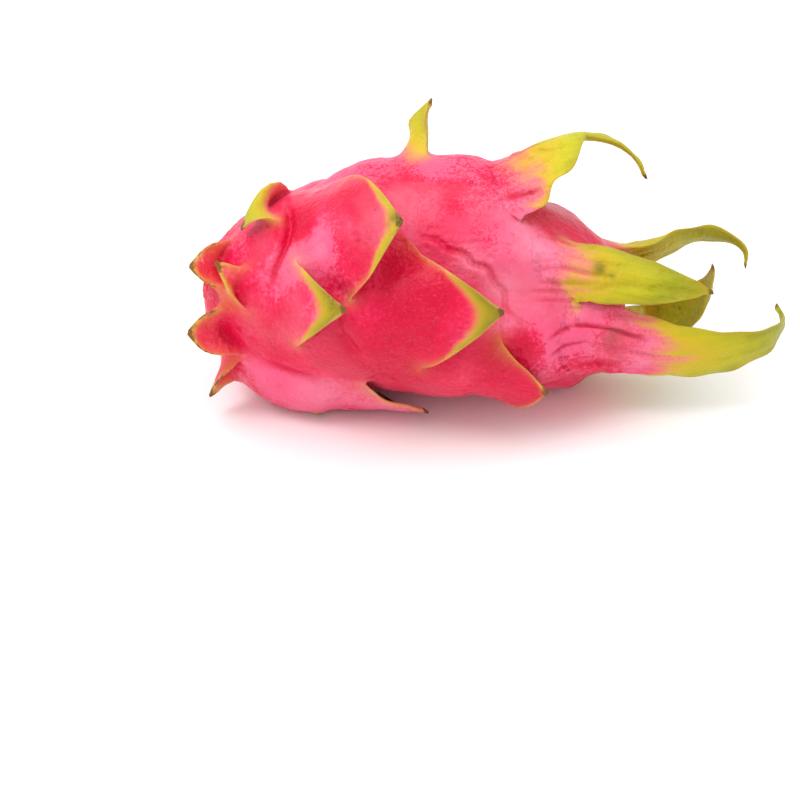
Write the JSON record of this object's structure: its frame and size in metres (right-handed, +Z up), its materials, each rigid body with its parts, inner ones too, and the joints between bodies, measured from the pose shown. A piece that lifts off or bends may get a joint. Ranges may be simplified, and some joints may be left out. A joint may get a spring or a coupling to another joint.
{
  "type": "dragon fruit",
  "caption": "Whole dragon fruit lying on its side, with broad fleshy scales, a crown of long curling ones and a woody stem stub.",
  "frame": {"origin": "centre of the bounding box, on the surface that the fruit lies on", "axes": "+X along the fruit from its cut stem to its crown, +Y from its front to its back, +Z up"},
  "size_m": [0.1764, 0.0946, 0.0854],
  "materials": {
    "skin": "waxy, satin",
    "stem": "dry, rough",
    "scar": "dry, withered"
  },
  "bodies": {
    "root": {"fruit": "skin", "stem_stub": "stem", "flower_scar": "scar"}
  },
  "joints": []
}
